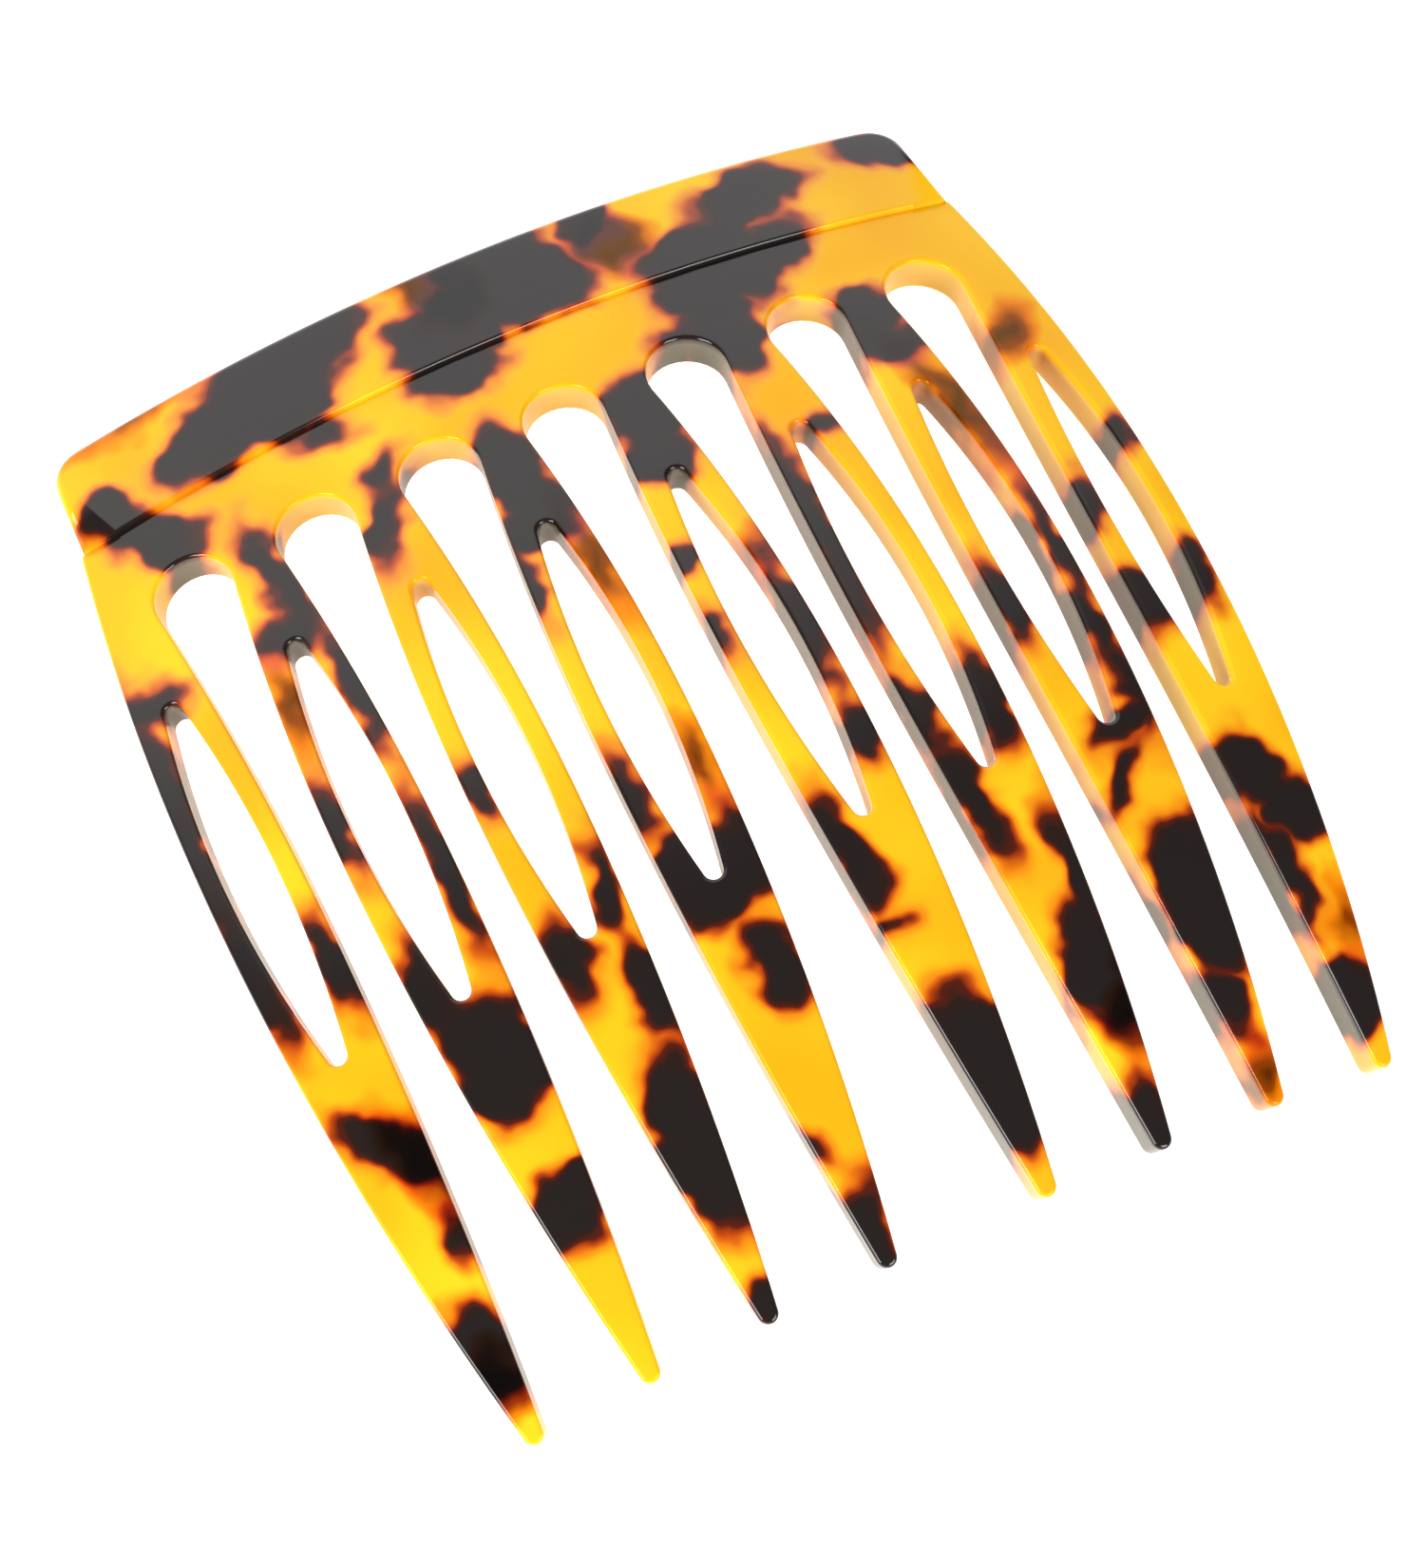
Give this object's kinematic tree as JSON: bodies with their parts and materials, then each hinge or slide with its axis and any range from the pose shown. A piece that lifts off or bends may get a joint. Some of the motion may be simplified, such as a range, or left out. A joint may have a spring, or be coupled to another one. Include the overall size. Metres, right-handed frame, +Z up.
{
  "type": "hair comb",
  "caption": "Large curved tortoiseshell hair comb: a raised heading bar over long tapering teeth, each pierced by an almond-shaped eyelet, to hold an updo or a side sweep.",
  "frame": {"origin": "under the middle of the comb's outer box, on the surface that it lies on with its hollow back down", "axes": "+X across the comb, +Y from the tips towards the heading, +Z up out of the domed front"},
  "size_m": [0.0996, 0.11, 0.0183],
  "materials": {
    "tortoiseshell_acetate": "high polish; translucent amber sheet with near-black brown mottles running through its thickness"
  },
  "bodies": {
    "root": {"heading_bar": "tortoiseshell_acetate", "tooth_base": "tortoiseshell_acetate", "tooth_1": "tortoiseshell_acetate", "tooth_2": "tortoiseshell_acetate", "tooth_3": "tortoiseshell_acetate", "tooth_4": "tortoiseshell_acetate", "tooth_5": "tortoiseshell_acetate", "tooth_6": "tortoiseshell_acetate", "tooth_7": "tortoiseshell_acetate", "tooth_8": "tortoiseshell_acetate"}
  },
  "joints": []
}
